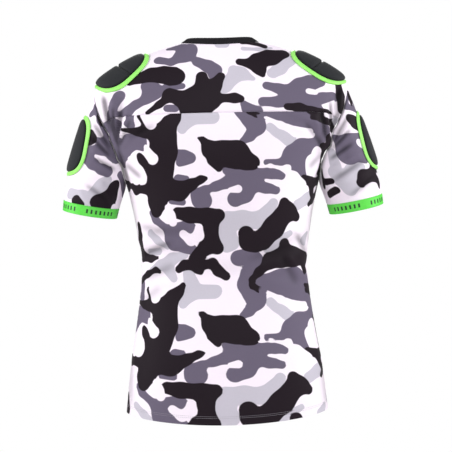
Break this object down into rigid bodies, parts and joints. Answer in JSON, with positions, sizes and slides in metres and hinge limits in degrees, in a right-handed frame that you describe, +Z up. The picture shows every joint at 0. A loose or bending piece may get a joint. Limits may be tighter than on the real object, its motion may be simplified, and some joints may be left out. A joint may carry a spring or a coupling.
{
  "type": "padded rugby shoulder top",
  "caption": "Short-sleeved stretch sports top in grey camouflage print, with black foam pads bound in green on the shoulders and upper arms, green elastic cuffs and a black round neck.",
  "frame": {"origin": "middle of the neck opening, level with the points where the neck band crosses the wearer's shoulders", "axes": "+Z up, +Y to the wearer's front, +X to the wearer's right; the pictured back faces -Y"},
  "size_m": [0.6002, 0.229, 0.7075],
  "materials": {
    "camouflage_jersey": "smooth stretch knit with a soft sheen, printed in white, grey and black camouflage",
    "black_neck_band": "matt ribbed knit",
    "green_binding": "soft satin tape",
    "green_elastic": "satin ribbed elastic",
    "pad_cover": "matt fine mesh over foam"
  },
  "bodies": {
    "root": {"back_yoke": "camouflage_jersey", "back_panel": "camouflage_jersey", "front_panel": "camouflage_jersey", "neck_band": "black_neck_band", "sleeve_left": "camouflage_jersey", "sleeve_right": "camouflage_jersey", "cuff_left": "green_elastic", "cuff_right": "green_elastic", "shoulder_pad_inner_left": "pad_cover", "shoulder_pad_outer_left": "pad_cover", "arm_pad_left": "pad_cover", "shoulder_pad_inner_right": "pad_cover", "shoulder_pad_outer_right": "pad_cover", "arm_pad_right": "pad_cover", "shoulder_binding_left": "green_binding", "arm_binding_left": "green_binding", "shoulder_binding_right": "green_binding", "arm_binding_right": "green_binding"}
  },
  "joints": []
}
